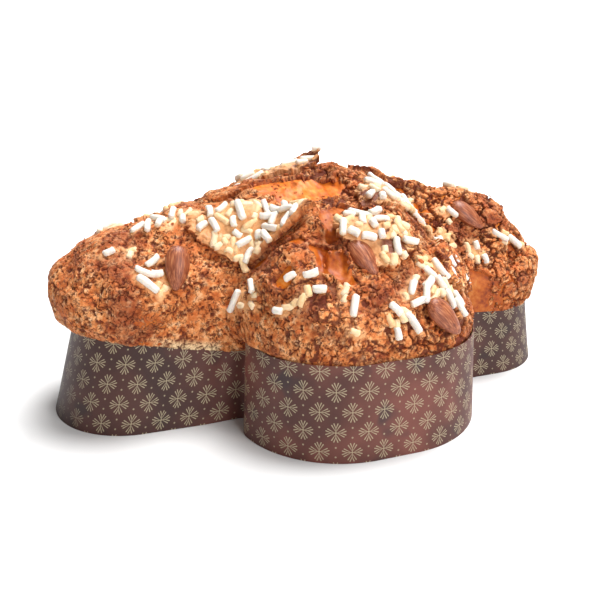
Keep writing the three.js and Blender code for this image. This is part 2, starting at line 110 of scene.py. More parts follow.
compass = np.linspace(-math.pi, math.pi, 7201)
case_outline = outline_by_halving(compass, WING_PINCH, NOTCH_BLEND)
crust_outline = outline_by_halving(compass, 0.0, CRUST_BLEND)


def outline_radius(angle, outline):
    return np.interp(np.arctan2(np.sin(angle), np.cos(angle)), compass, outline)


def lean(angle, z):
    """How far the wall has leaned in at a height."""
    c = np.cos(angle)
    to_tail = (LEAN_TAIL - LEAN_WING) * np.maximum(0, -c) ** 4
    to_head = (LEAN_HEAD - LEAN_WING) * np.maximum(0, c) ** 4
    return (LEAN_WING + to_tail + to_head) * z / CASE_HEIGHT


def wall_radius(angle, z):
    return outline_radius(angle, case_outline) - lean(angle, z)


def lattice_value(i, j, k):
    """A number from 0 to 1 for each lattice point, always the same."""
    h = (i * 374761393 + j * 668265263 + k * 1274126177) & 0xFFFFFFFF
    h = ((h ^ (h >> 13)) * 1103515245) & 0xFFFFFFFF
    return (h ^ (h >> 16)) / 4294967296.0


def noise(points, size):
    """Smooth value noise from -1 to 1, with lattice points `size` apart."""
    corner = np.floor(points / size).astype(np.int64)
    part = points / size - corner
    ease = part * part * (3 - 2 * part)
    total = 0
    for n in range(8):
        step = np.array([n & 1, (n >> 1) & 1, n >> 2])
        at = corner + step
        total = total + (np.prod(np.where(step, ease, 1 - ease), axis=-1)
                         * lattice_value(at[..., 0], at[..., 1], at[..., 2]))
    return 2 * total - 1


def get_points(piece):
    points = np.empty(len(piece.data.vertices) * 3)
    piece.data.vertices.foreach_get("co", points)
    return points.reshape(-1, 3)


def set_points(piece, points):
    piece.data.vertices.foreach_set("co", np.ascontiguousarray(points, dtype=float).ravel())
    piece.data.update()


def to_metres(piece):
    set_points(piece, get_points(piece) * MM)


def ring(angle, radius, z):
    return np.stack([radius * np.cos(angle), radius * np.sin(angle), z + 0 * angle], axis=-1)


bpy.ops.object.select_all(action="DESELECT")
bpy.ops.mesh.primitive_circle_add(vertices=CASE_STEPS, radius=1, fill_type="NGON")
case = bpy.context.object
case.name = "printed_paper_case"
bpy.ops.object.mode_set(mode="EDIT")
bpy.ops.mesh.select_all(action="SELECT")
bpy.ops.mesh.flip_normals()
for row in range(CASE_ROWS):
    bpy.ops.mesh.extrude_edges_move(TRANSFORM_OT_translate={"value": (0, 0, 1)})
bpy.ops.object.mode_set(mode="OBJECT")
points = get_points(case)
angle = np.arctan2(points[:, 1], points[:, 0])
height = points[:, 2] / CASE_ROWS * CASE_HEIGHT
up = height / CASE_HEIGHT
fold = sum(d * np.exp(-(((np.degrees(angle) - a + 180) % 360 - 180) / w) ** 2) for a, w, d in FOLDS)
floor_edge = outline_radius(angle, case_outline)
swollen = BULGE[2] * np.exp(-((np.degrees(angle) - BULGE[0]) / BULGE[1]) ** 2) * (1 - 0.6 * up)
wave = RIPPLE * noise(ring(angle, floor_edge, 0.5 * height), 21.0) * np.minimum(1, 6 * up)
rim_wave = RIM_RIPPLE * noise(ring(angle, floor_edge, 0), 17.0) * up ** 4
points = ring(angle, wall_radius(angle, height) + wave + swollen + fold * up, height + rim_wave)
set_points(case, points)

# The print runs round the wall: u is the length along the floor's edge and v the height, in mm.
order = np.argsort(angle[:CASE_STEPS])
edge = ring(angle, floor_edge, 0)[order]
steps_along = np.linalg.norm(np.roll(edge, -1, axis=0) - edge, axis=1)
girth = steps_along.sum()
along_edge = np.interp(angle, angle[order], np.concatenate([[0], np.cumsum(steps_along)[:-1]]))
print_map = case.data.uv_layers.new(name="print")
for polygon in case.data.polygons:
    places = [along_edge[v] for v in polygon.vertices]
    over_seam = max(places) - min(places) > girth / 2
    for loop_index, v, place in zip(polygon.loop_indices, polygon.vertices, places):
        shift = girth if over_seam and place < girth / 2 else 0
        print_map.data[loop_index].uv = (place + shift, height[v])
    polygon.use_smooth = True
wall = case.modifiers.new("paper", "SOLIDIFY")
wall.thickness = PAPER
wall.offset = -1
bpy.ops.object.modifier_apply(modifier="paper")
bpy.ops.object.shade_smooth_by_angle(angle=math.radians(50))
to_metres(case)


def linear(hex_colour):
    """An sRGB hex colour as linear RGBA."""
    parts = [int(hex_colour[i:i + 2], 16) / 255 for i in (1, 3, 5)]
    return tuple(c / 12.92 if c <= 0.04045 else ((c + 0.055) / 1.055) ** 2.4 for c in parts) + (1.0,)


def new_material(name):
    material = bpy.data.materials.new(name)
    material.use_nodes = True
    tree = material.node_tree
    return material, tree, next(n for n in tree.nodes if n.type == "BSDF_PRINCIPLED")


def node(tree, kind, inputs=(), stops=(), **settings):
    """Adds a shader node: its settings, its inputs as values or links, and a colour ramp's stops."""
    made = tree.nodes.new("ShaderNode" + kind)
    for key, value in settings.items():
        setattr(made, key, value)
    for key, value in dict(inputs).items():
        if isinstance(value, bpy.types.Node):
            value = value.outputs[0]
        if isinstance(value, bpy.types.NodeSocket):
            tree.links.new(value, made.inputs[key])
        else:
            made.inputs[key].default_value = value
    for n, (place, colour) in enumerate(stops):
        element = made.color_ramp.elements[n] if n < 2 else made.color_ramp.elements.new(place)
        element.position = place
        element.color = linear(colour)
    return made


# Greaseproof baking paper, printed and calendered: dark maroon that darkens in blurred patches, and with
# painted shade towards the tail and head ends, with a faint satin sheen, and a thin gold ink that is paler
# than the paper but no shinier.
COLUMN_GAP, ROW_GAP = 16.6, 21.8     # between sprigs of one row, and between every second row
SPRIG_LIFT = 4.4                     # shifts the rows up from the floor
DOT_BESIDE, DOT_RADIUS = 8.2, 0.46   # the small dots, and how far above and below a sprig they are
INK_FADE, INK_BLEED = 0.12, 0.16     # the soft edge of the ink, inside and outside a stroke's outline
# One arm of a sprig and half of its fork: start, end, half width at the start and at the end
STROKES = [((0.0, 0.0), (2.5, 0.0), 0.18, 0.12), ((2.4, 0.0), (5.0, 1.0), 0.08, 0.24),
           ((1.2, 0.4), (4.1, 2.1), 0.06, 0.24)]
column_gap = girth / round(girth / COLUMN_GAP)
site = (column_gap / 2, ROW_GAP / 2, 0)

printed, tree, shader = new_material("printed_baking_paper")
uv = node(tree, "UVMap", uv_map="print")
lifted = node(tree, "VectorMath", {0: uv, 1: (0, SPRIG_LIFT, 0)}, operation="ADD")
wrapped = node(tree, "VectorMath", operation="WRAP",
               inputs={0: lifted, 1: (site[0], site[1], 1), 2: (-site[0], -site[1], -1)})
folded = node(tree, "VectorMath", {0: wrapped}, operation="ABSOLUTE")
share = node(tree, "VectorMath", {0: folded, 1: (1 / site[0], 1 / site[1], 0)}, operation="DOT_PRODUCT")
far = node(tree, "Math", {0: share.outputs["Value"], 1: 1.0}, operation="GREATER_THAN")
to_site = node(tree, "VectorMath", {0: site, "Scale": far}, operation="SCALE")
from_site = node(tree, "VectorMath", {0: folded, 1: to_site}, operation="SUBTRACT")
from_site = node(tree, "VectorMath", {0: from_site}, operation="ABSOLUTE")
split = node(tree, "SeparateXYZ", {0: from_site})
along_arm = node(tree, "Math", {0: split.outputs[0], 1: split.outputs[1]}, operation="MAXIMUM")
beside_arm = node(tree, "Math", {0: split.outputs[0], 1: split.outputs[1]}, operation="MINIMUM")
in_arm = node(tree, "CombineXYZ", {0: along_arm, 1: beside_arm})
dot = node(tree, "VectorMath", {0: from_site, 1: (0, DOT_BESIDE, 0)}, operation="DISTANCE")
ink = node(tree, "MapRange", {0: dot.outputs["Value"], 1: DOT_RADIUS - INK_BLEED,
                              2: DOT_RADIUS + INK_BLEED, 3: 0.8, 4: 0.0})
for start, end, half_start, half_end in STROKES:
    run = (end[0] - start[0], end[1] - start[1], 0)
    square = run[0] ** 2 + run[1] ** 2
    rel = node(tree, "VectorMath", {0: in_arm, 1: (*start, 0)}, operation="SUBTRACT")
    t = node(tree, "VectorMath", {0: rel, 1: (run[0] / square, run[1] / square, 0)},
             operation="DOT_PRODUCT")
    t = node(tree, "Math", {0: t.outputs["Value"], 1: 0.0}, operation="ADD", use_clamp=True)
    foot = node(tree, "VectorMath", {0: run, "Scale": t}, operation="SCALE")
    gap = node(tree, "VectorMath", {0: rel, 1: foot}, operation="DISTANCE")
    half = node(tree, "Math", {0: t, 1: half_end - half_start, 2: half_start}, operation="MULTIPLY_ADD")
    gap = node(tree, "Math", {0: gap.outputs["Value"], 1: half}, operation="SUBTRACT")
    stroke = node(tree, "MapRange", {0: gap, 1: -INK_FADE, 2: INK_BLEED, 3: 1.0, 4: 0.0})
    ink = node(tree, "Math", {0: ink, 1: stroke}, operation="MAXIMUM")
place = node(tree, "TexCoord").outputs["Object"]
cloud = node(tree, "TexNoise", {"Vector": place, "Scale": 1 / (30 * MM), "Detail": 2.0})
blur = node(tree, "TexNoise", {"Vector": place, "Scale": 1 / (17 * MM), "Detail": 1.0})
fibre = node(tree, "TexNoise", {"Vector": place, "Scale": 1 / (1.1 * MM), "Detail": 2.0})
paper_colour = node(tree, "ValToRGB", {0: cloud},
                    stops=[(0.34, "#4c2822"), (0.5, "#61342b"), (0.66, "#744036")])
dark = node(tree, "MapRange", {0: blur, 1: 0.62, 2: 0.74, 3: 0.0, 4: 0.7})
paper_colour = node(tree, "Mix", {0: dark, 6: paper_colour, 7: linear("#2b2427")}, data_type="RGBA")
x_place = node(tree, "SeparateXYZ", {0: place})
# Painted shade: the paper is darkened towards the tail and head ends, as if those walls stood in shade.
painted_end_shade = node(tree, "Math", {0: x_place}, operation="ABSOLUTE")
painted_end_shade = node(tree, "MapRange", {0: painted_end_shade, 1: 0.07, 2: 0.1, 3: 0.0, 4: 0.7})
paper_colour = node(tree, "Mix", {0: painted_end_shade, 6: paper_colour.outputs[2], 7: linear("#2c1a17")},
                    data_type="RGBA")
worn = node(tree, "MapRange", {0: x_place, 1: -0.151, 2: -0.136, 3: 0.25, 4: 0.85})
ink = node(tree, "Math", {0: ink, 1: worn}, operation="MULTIPLY")
print_colour = node(tree, "Mix", {0: ink, 6: paper_colour.outputs[2], 7: linear("#baab8a")},
                    data_type="RGBA")
tree.links.new(print_colour.outputs[2], shader.inputs["Base Color"])
shader.inputs["Roughness"].default_value = 0.55
shader.inputs["IOR"].default_value = 1.45
bump = node(tree, "Bump", {"Height": fibre, "Strength": 0.25, "Distance": 0.15 * MM})
tree.links.new(bump.outputs[0], shader.inputs["Normal"])
case.data.materials.append(printed)
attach(case, "root")
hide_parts("paper_case")

# ---- Dough -----------------------------------------------------------------------------------------
# The sweet dough that rose in the case and swelled over its rim. It shows only where the icing slid off:
# smooth, stretched and satin, orange-brown, with a bulb of dough pushed up through the longest crack.

CROWN_HEIGHT, CROWN_ROUND = 126.0, 27.0
SLOPE_WING, SLOPE_TAIL, SLOPE_HEAD = 0.2, 0.24, 0.22         # fall of the ridges per mm outwards
FULL_WING, FULL_TAIL, FULL_HEAD = 0.6, 0.4, 0.95             # how bluntly the edge turns down
LOBE_BLEND = 24.0
OVER_WING, OVER_TAIL, OVER_HEAD = -2.0, 11.5, 8.5            # the edge against the case's rim
WIDE_WING, WIDE_TAIL, WIDE_HEAD = 53.6, 66.0, 61.0           # height of the widest line
WING_PILLOW = 64.0                           # depth in from a wing's edge at which its pillow is full
LIP_HEIGHT, LIP_DROOP, LIP_OUT = 52.0, 12.0, 1.6
RIM_FADE, SETTLE, SETTLE_FROM = 9.0, 1.5, 22.0
SWELL_SIZE, SWELL_HEIGHT = 34.0, 3.2
CRAG_SIZE, CRAG_HEIGHT = 12.0, 2.8
# Hollows and the bulb: x, y, half length, half width, turn in degrees, depth
HOLLOWS = [(0, -34, 34, 20, -60, 3.0), (-20, -76, 17, 8, -75, 3.5), (70, -42, 20, 9, 30, 2.0),
           (18, 28, 18, 10, 20, 2.0), (-17, -83, 11, 9, -60, -4.5)]
SHADED_VALLEY = (-14, -66, 34, 19, 75)              # the deep groove beside the wing, where painted shade darkens the dough
ICING_THICKNESS = 2.7
DOUGH_CELLS, LIP_ROWS = 230, 8
PLUG_GAP, FLOOR_GAP = 3.6, 0.8       # the dough stands this far off the paper's wall and floor


def around(angle, wing, tail, head):
    """A value that differs between wings, tail and head."""
    c = np.cos(angle)
    to_tail = np.minimum(1, 1.3 * np.maximum(0, -c) ** 4)
    to_head = np.minimum(1, 1.2 * np.maximum(0, c) ** 6)
    return wing + (tail - wing) * to_tail + (head - wing) * to_head


def crust_radius(angle):
    over_rim = around(angle, OVER_WING, OVER_TAIL, OVER_HEAD)
    return outline_radius(angle, crust_outline) - lean(angle, CASE_HEIGHT) + over_rim


def lip_edge(angle):
    """Height of the lip's lower edge: it droops beside the notches, where the dough ran over."""
    from_tail = np.degrees(np.abs(np.arctan2(np.sin(angle), -np.cos(angle))))
    from_head = 180 - from_tail
    tail = smoothstep(from_tail, 14, 33) * (1 - smoothstep(from_tail, 38, 43))
    head = (1 - smoothstep(from_head, 36, 42)) * (1 - 0.35 * (1 - smoothstep(from_head, 10, 25)))
    return LIP_HEIGHT - LIP_DROOP * (tail + head)


def dome_height(x, y):
    """The smooth dome: two pillows, one over the body and one over the wings, joined softly."""
    angle = np.arctan2(y, x)
    shrink = outline_radius(angle, crust_outline) / crust_radius(angle)
    body, wing = lobes(x * shrink, y * shrink, 0.0)
    wide = around(angle, WIDE_WING, WIDE_TAIL, WIDE_HEAD)
    run = np.sqrt(x * x + y * y + CROWN_ROUND ** 2) - CROWN_ROUND
    rise = CROWN_HEIGHT - around(angle, SLOPE_WING, SLOPE_TAIL, SLOPE_HEAD) * run - wide
    full = around(angle, FULL_WING, FULL_TAIL, FULL_HEAD)
    over_body = rise * (1 - (1 - np.clip(-body / BODY_HALF_WIDTH, 0, 1)) ** 2) ** full
    over_wing = rise * (1 - (1 - np.clip(-wing / WING_PILLOW, 0, 1)) ** 2) ** full
    return wide - smooth_min(-over_body, -over_wing, LOBE_BLEND)


def patch_reach(patch, x, y):
    """How far out in an oval patch a place lies: 1 at its edge."""
    a = math.radians(patch[4])
    u = ((x - patch[0]) * math.cos(a) + (y - patch[1]) * math.sin(a)) / patch[2]
    v = ((y - patch[1]) * math.cos(a) - (x - patch[0]) * math.sin(a)) / patch[3]
    return np.hypot(u, v)


def relief(points):
    """How far the crust stands off the smooth dome. It dies out at the wings' rim."""
    x, y = points[..., 0], points[..., 1]
    sunk = sum(p[5] * (1 - smoothstep(patch_reach(p, x, y), 0.55, 1)) for p in HOLLOWS)
    angle = np.arctan2(y, x)
    from_edge = crust_radius(angle) - np.hypot(x, y)
    fade = around(angle, smoothstep(from_edge, 0, RIM_FADE), 1, 1)
    waves = SWELL_HEIGHT * noise(points, SWELL_SIZE) + CRAG_HEIGHT * noise(points, CRAG_SIZE)
    return fade * (waves - sunk) - SETTLE * smoothstep(from_edge, 0, SETTLE_FROM)


def crust_at(x, y):
    """The crust's points, and the dome's outward normals."""
    probe = 0.5
    points = np.stack([x, y, dome_height(x, y)], axis=-1)
    normals = np.stack([dome_height(x - probe, y) - dome_height(x + probe, y),
                        dome_height(x, y - probe) - dome_height(x, y + probe),
                        np.full_like(points[..., 0], 2 * probe)], axis=-1)
    normals /= np.linalg.norm(normals, axis=-1, keepdims=True)
    return points + normals * relief(points)[..., None], normals


def square_to_disc(a, b):
    """Radius and angle, on a disc, of the points of a square from -1 to 1."""
    sideways = math.pi / 4 * (b / np.where(a == 0, 1, a)) + np.where(a < 0, math.pi, 0)
    upright = math.pi / 2 - math.pi / 4 * (a / np.where(b == 0, 1, b)) + np.where(b < 0, math.pi, 0)
    return np.maximum(np.abs(a), np.abs(b)), np.where(np.abs(a) > np.abs(b), sideways, upright)


def risen_cake(name, cells, sunk):
    """The dome, its lip and the plug in the case as one closed body, `sunk` below the crust."""
    bpy.ops.object.select_all(action="DESELECT")
    bpy.ops.mesh.primitive_grid_add(x_subdivisions=cells, y_subdivisions=cells, size=2)
    piece = bpy.context.object
    piece.name = name
    bpy.ops.object.mode_set(mode="EDIT")
    bpy.ops.mesh.select_all(action="SELECT")
    bpy.ops.mesh.region_to_loop()
    for _ in range(LIP_ROWS + 2):
        bpy.ops.mesh.extrude_edges_move(TRANSFORM_OT_translate={"value": (0, 0, -1)})
    bpy.ops.mesh.edge_face_add()
    bpy.ops.object.mode_set(mode="OBJECT")
    square = get_points(piece)
    row = np.round(-square[:, 2]).astype(int)
    radius, angle = square_to_disc(square[:, 0], square[:, 1])
    spread = (0.5 * radius + 0.5 * np.sin(radius * math.pi / 2)) * crust_radius(angle)
    points, normals = crust_at(spread * np.cos(angle), spread * np.sin(angle))
    points -= normals * sunk
    edge, wide = lip_edge(angle), around(angle, WIDE_WING, WIDE_TAIL, WIDE_HEAD)
    hang = smoothstep(around(angle, OVER_WING, OVER_TAIL, OVER_HEAD), 0, 4)
    inner = wall_radius(angle, edge) - 1.5 + (LIP_OUT + 1.5) * hang
    turn = np.clip(row / LIP_ROWS, 0, 1) * math.pi / 2
    lip = ring(angle, inner + (crust_radius(angle) - inner) * np.cos(turn) - sunk,
               wide + (edge - wide) * np.sin(turn))
    plug_z = np.where(row == LIP_ROWS + 1, edge, PAPER + FLOOR_GAP)
    plug = ring(angle, wall_radius(angle, plug_z) - PAPER - PLUG_GAP, plug_z)
    at_rim = (radius > 0.9999) & (row <= LIP_ROWS)
    points = np.where(at_rim[:, None], lip, np.where((row > LIP_ROWS)[:, None], plug, points))
    set_points(piece, points)
    return piece


def keep_at_points(piece, **values):
    """Keeps numbers for a piece's points, which its material reads by their name."""
    for name, numbers in values.items():
        layer = piece.data.attributes.new(name, "FLOAT", "POINT")
        layer.data.foreach_set("value", numbers)


dough = risen_cake("dough", DOUGH_CELLS, ICING_THICKNESS)
points = get_points(dough)
stretch_marks = 0.5 * noise(points * [1.0, 0.45, 1.0], 4.0) + 0.25 * noise(points, 1.9)
on_dome = points[:, 2] > 60
# Painted shade: the dough is darkened in the deep valley beside the wing and low on its sides, under the
# overhanging crust.
valley_shade = 1 - smoothstep(patch_reach(SHADED_VALLEY, points[:, 0], points[:, 1]), 0.7, 1.1)
keep_at_points(dough, baked_dark=np.maximum(valley_shade, 1 - smoothstep(points[:, 2], 62, 84)))
points[:, 2] += stretch_marks * on_dome
set_points(dough, points)
bpy.ops.object.shade_smooth()
to_metres(dough)

# Egg-washed crust of a brioche dough, baked: satin, orange-brown, with fine stretch marks, and painted shade
# darkening it in the valley beside the wing and low on the sides.
baked_dough, tree, shader = new_material("baked_dough_skin")
place = node(tree, "TexCoord").outputs["Object"]
pulled = node(tree, "Mapping", {"Vector": place, "Scale": (1.0, 0.35, 1.0)})
marks = node(tree, "TexNoise", {"Vector": pulled, "Scale": 1 / (2.2 * MM), "Detail": 4.0})
broad = node(tree, "TexNoise", {"Vector": place, "Scale": 1 / (13 * MM), "Detail": 2.0})
both = node(tree, "Math", {0: marks, 1: broad}, operation="ADD")
both = node(tree, "Math", {0: both, 1: 0.5}, operation="MULTIPLY")
skin = node(tree, "ValToRGB", {0: both},
            stops=[(0.36, "#a04402"), (0.46, "#cc620a"), (0.56, "#e47c20"), (0.68, "#f09c48")])
# Painted shade, multiplied in towards a dull brown.
dark = node(tree, "Attribute", attribute_name="baked_dark").outputs["Fac"]
dark = node(tree, "Math", {0: dark, 1: 0.9}, operation="MULTIPLY")
skin = node(tree, "Mix", {0: dark, 6: skin.outputs[0], 7: linear("#c8baa8")}, data_type="RGBA",
            blend_type="MULTIPLY")
tree.links.new(skin.outputs[2], shader.inputs["Base Color"])
shader.inputs["Roughness"].default_value = 0.5
shader.inputs["IOR"].default_value = 1.4
bump = node(tree, "Bump", {"Height": marks, "Strength": 0.5, "Distance": 0.5 * MM})
tree.links.new(bump.outputs[0], shader.inputs["Normal"])
dough.data.materials.append(baked_dough)
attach(dough, "root")
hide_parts("cake")

# ---- Sugar rods ------------------------------------------------------------------------------------
# Short rods of pressed white sugar, strewn on the wet icing before baking. Those that stand proud stay
# white and chalky; those that sank are soaked cream and amber by the icing that melted round them.

# Raised plates of icing under some of the sugar, made further down: x, y, half length, half width, turn
# in degrees, lift of the free edge, its direction, and the sugar rods on it
PLATES = [
    (-47, -33, 33, 12.5, -28, 6.0, -50, 16), (-9, 13, 18, 11, -22, 9.0, 15, 3),
    (-51, 2, 14, 6, -32, 1.0, 60, 0), (36, -33, 28, 16, 33, 1.5, -40, 10),
    (6, -73, 19, 14, -25, 1.5, -30, 10), (60, -40, 22, 7, 30, 0.8, -60, 4),
    (54, -71, 19, 9, 50, 0.8, -40, 0), (-8, 56, 33, 17, 24, 5.0, 80, 8), (-78, 34, 20, 8, 12, 1.0, 100, 4),
    (58, 34, 27, 13, -30, 2.5, 60, 5), (52, 3, 27, 7, -6, 3.5, 84, 0),
]
PLATE_THICKNESS, PLATE_SINK = 3.2, 2.2
# Groups of rods: x, y, half length, half width, turn, heading and its spread in degrees, rods
ROD_GROUPS = [
    (-90, -9, 18, 5, -8, 80, 120, 5), (-116, -23, 10, 4, 10, 12, 30, 1), (-101, -39, 6, 6, -40, 0, 60, 4),
    (-64, -51, 4, 9, 20, 130, 70, 2), (-56, -60, 4, 5, 0, 90, 20, 1), (-37, -82, 13, 6, -20, 135, 70, 3),
    (-17, -97, 2, 5, 10, 40, 30, 1), (-20, -104, 4, 3, 0, 15, 30, 1), (7, -104, 9, 4, -5, 125, 60, 3),
    (22, -97, 9, 5, 8, 40, 60, 3), (38, -91, 13, 7, -20, 145, 40, 5), (55, -70, 18, 8, 50, 112, 24, 9),
    (96, -35, 8, 4, 0, 120, 40, 2), (81, -22, 8, 5, 0, 155, 40, 1), (122, -28, 9, 3, 10, 165, 30, 2),
    (92, 2, 16, 7, 0, 90, 180, 1), (118, 22, 16, 9, -20, 90, 180, 2), (72, 70, 12, 9, -35, 90, 180, 3),
    (22, 90, 20, 9, -12, 90, 180, 3), (-42, 78, 16, 9, 40, 90, 180, 3), (-118, 18, 15, 8, 25, 90, 180, 2),
]
ROD_RADIUS, ROD_SPACING, ROD_SINK = 1.75, 5.2, 0.45
ROD_LEAST, ROD_MOST = 6.5, 10.5
ROD_BEND, ROD_WARP = 1.8, 0.2                # how far a rod's ends may curve, and how uneven it is
SUNK_SHARE, SUNK_LENGTH = 1.3, 0.72          # rods that sank: how deep, and how much of them shows
# Almonds between the rods, made further down: x, y, turn of the long axis, size against the usual
ALMONDS = [(-89, -38, -112, 1.0), (-3, -83, -63, 0.96), (32, -102.5, -14, 1.02), (95, -21, -35, 1.0),
           (-42, 66, 128, 0.98), (36, 66, 40, 1.03), (104, 27, 62, 0.95)]
ALMOND_ROOM = 10.0

seed_state = 7


def next_number():
    """The same row of numbers from 0 to 1 each time."""
    global seed_state
    seed_state = (seed_state * 1664525 + 1013904223) & 0xFFFFFFFF
    return seed_state / 4294967296.0


def plate_rise(plate, x, y):
    """How far a plate's top stands off the crust."""
    a = math.radians(plate[4])
    u = ((x - plate[0]) * math.cos(a) + (y - plate[1]) * math.sin(a)) / plate[2]
    v = ((y - plate[1]) * math.cos(a) - (x - plate[0]) * math.sin(a)) / plate[3]
    edge = math.radians(plate[6]) - a
    return plate[5] * np.maximum(0, u * math.cos(edge) + v * math.sin(edge)) ** 2 + PLATE_THICKNESS


def strew(patch, wanted, heading, spread, sunk, room, rods):
    """Drops rods on an oval patch, kept apart from each other and from the almonds."""
    a = math.radians(patch[4])
    made = tries = 0
    while made < wanted and tries < 40 * wanted:
        tries += 1
        reach = 0.92 * math.sqrt(next_number())
        turn = 2 * math.pi * next_number()
        way = math.radians(heading + spread * (next_number() - 0.5))
        length = ROD_LEAST + (ROD_MOST - ROD_LEAST) * next_number()
        u = reach * patch[2] * math.cos(turn)
        v = reach * patch[3] * math.sin(turn)
        x = patch[0] + u * math.cos(a) - v * math.sin(a)
        y = patch[1] + u * math.sin(a) + v * math.cos(a)
        point = crust_at(np.array([x]), np.array([y]))[0][0]
        if any(np.linalg.norm(spot - point) <= reach_of for spot, reach_of in taken):
            continue
        taken.append((point, room))
        made += 1
        rise = plate_rise(patch, x, y) if patch in PLATES else 0.0
        rods.append((x, y, way, length, rise, sunk))


taken = [(crust_at(np.array([float(x)]), np.array([float(y)]))[0][0], ALMOND_ROOM) for x, y, _, _ in ALMONDS]
rods = []
for plate in PLATES:
    strew(plate, plate[7], 90, 180, ROD_SINK, ROD_SPACING, rods)
for group in ROD_GROUPS:
    strew(group, group[7], group[5], group[6], ROD_SINK, ROD_SPACING, rods)
for plate in PLATES:
    strew(plate, round(0.25 * plate[7]), 90, 180, ROD_SINK, 4.2, rods)
    strew(plate, round(1.6 * plate[7]), 90, 180, SUNK_SHARE, 3.2, rods)
for group in ROD_GROUPS:
    strew(group, round(0.25 * group[7]), group[5], group[6], 0.6, 3.8, rods)
    strew(group, group[7] + 1, group[5], group[6] + 60, SUNK_SHARE, 3.0, rods)


def lie_on_crust(x, y, heading, height):
    """Turns a shape's Y axis along the crust and its Z axis outwards, and gives its place."""
    point, normal = (v[0] for v in crust_at(np.array([float(x)]), np.array([float(y)])))
    along = np.array([math.cos(heading), math.sin(heading), 0.0])
    along[2] = -(normal[0] * along[0] + normal[1] * along[1]) / normal[2]
    along /= np.linalg.norm(along)
    return np.stack([np.cross(along, normal), along, normal], axis=1), point + normal * height


def joined(name, shapes):
    """One object from many (points, faces), each with points of its own."""
    starts = np.cumsum([0] + [len(points) for points, _ in shapes])
    faces = [[v + start for v in face] for start, (_, part) in zip(starts, shapes) for face in part]
    mesh = bpy.data.meshes.new(name)
    mesh.from_pydata((np.concatenate([points for points, _ in shapes]) * MM).tolist(), [], faces)
    piece = bpy.data.objects.new(name, mesh)
    bpy.context.scene.collection.objects.link(piece)
    return piece


# Rings of a rod's shape: place along it and radius, both as shares
ROD_RINGS = [(-1.0, 0.62), (-0.88, 0.95), (-0.4, 1.0), (0.4, 1.0), (0.88, 0.95), (1.0, 0.62)]
bpy.ops.object.select_all(action="DESELECT")
bpy.ops.mesh.primitive_circle_add(vertices=9, radius=1, fill_type="NGON")
pattern = bpy.context.object
bpy.ops.object.mode_set(mode="EDIT")
bpy.ops.mesh.select_all(action="SELECT")
for _ in ROD_RINGS[1:]:
    bpy.ops.mesh.extrude_edges_move(TRANSFORM_OT_translate={"value": (0, 0, 1)})
bpy.ops.mesh.edge_face_add()
bpy.ops.mesh.select_all(action="SELECT")
bpy.ops.mesh.normals_make_consistent(inside=False)
bpy.ops.object.mode_set(mode="OBJECT")
rod_points = get_points(pattern)
along, width = np.array(ROD_RINGS)[np.round(rod_points[:, 2]).astype(int)].T
rod_points = np.stack([rod_points[:, 0] * width, along, -rod_points[:, 1] * width], axis=1)
rod_faces = [list(p.vertices) for p in pattern.data.polygons]
bpy.data.objects.remove(pattern)

rod_shapes, soaks, sugar_spots = [], [], []
for n, (x, y, heading, length, rise, sunk) in enumerate(rods):
    stretch = (0.75 + 0.7 * next_number() ** 2) * (1.0 if sunk < 1 else SUNK_LENGTH)
    thick = ROD_RADIUS * (1.0 + 0.2 * next_number())
    local = rod_points * [thick, length * stretch / 2, thick]
    warp = np.stack([noise(rod_points * 3 + 7 * n + s, 1.3) for s in (0, 20, 40)], axis=1)
    local += ROD_WARP * thick * warp
    local[:, 0] += ROD_BEND * (next_number() - 0.5) * rod_points[:, 1] ** 2
    rotation, spot = lie_on_crust(x, y, heading, rise + ROD_RADIUS * (1 - sunk))
    tip = 0.25 * (next_number() - 0.5) if sunk < 1 else 0.0
    tipped = np.array([[1, 0, 0], [0, math.cos(tip), math.sin(tip)], [0, -math.sin(tip), math.cos(tip)]])
    depth = 0.08 + 0.25 * next_number() if sunk < 1 else 0.42 + 0.35 * next_number()
    if math.hypot(x, y) > crust_radius(np.array(math.atan2(y, x))) - ROD_RADIUS:
        continue      # it fell beside the cake
    rod_shapes.append((local @ tipped @ rotation.T + spot, rod_faces))
    soaks.append(np.clip(depth - 0.35 * rod_points[:, 2] * (sunk < 1), 0, 1))
    for t in np.linspace(-0.9, 0.9, 6):
        sugar_spots.append(np.append(rotation @ [0, t * length * stretch / 2, 0] + spot, rise > 0))
sugar = joined("sugar_rods", rod_shapes)
keep_at_points(sugar, soak=np.concatenate(soaks))
for polygon in sugar.data.polygons:
    polygon.use_smooth = True

# Pressed icing sugar, baked: chalky and slightly see-through, white where dry and cream where soaked.
pressed_sugar, tree, shader = new_material("pressed_sugar")
place = node(tree, "TexCoord").outputs["Object"]
grain = node(tree, "TexNoise", {"Vector": place, "Scale": 1 / (1.4 * MM), "Detail": 3.0})
soaked = node(tree, "Attribute", attribute_name="soak").outputs["Fac"]
uneven = node(tree, "Math", {0: grain, 1: 0.35, 2: soaked}, operation="MULTIPLY_ADD")
uneven = node(tree, "Math", {0: uneven, 1: 0.17}, operation="SUBTRACT")
colour = node(tree, "ValToRGB", {0: uneven},
              stops=[(0.1, "#e8e0d5"), (0.3, "#ead9c0"), (0.6, "#eecd9e"), (0.95, "#dba468")])
tree.links.new(colour.outputs[0], shader.inputs["Base Color"])
shader.inputs["Roughness"].default_value = 0.55
shader.inputs["Subsurface Weight"].default_value = 0.3
shader.inputs["Subsurface Radius"].default_value = (1.0, 0.7, 0.4)
shader.inputs["Subsurface Scale"].default_value = 1.0 * MM
bump = node(tree, "Bump", {"Height": grain, "Strength": 0.7, "Distance": 0.5 * MM})
tree.links.new(bump.outputs[0], shader.inputs["Normal"])
sugar.data.materials.append(pressed_sugar)
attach(sugar, "root")
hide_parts("cake")

# ---- Icing -----------------------------------------------------------------------------------------
# A thin almond and egg-white icing, poured over the raw dough, one closed piece over each lobe. It dried
# to a sandy, pitted crust that cracked as the dough rose: into fine crackle on the tail, and into wide
# islands on the wings and head. Round the sugar it stayed smooth and pale.

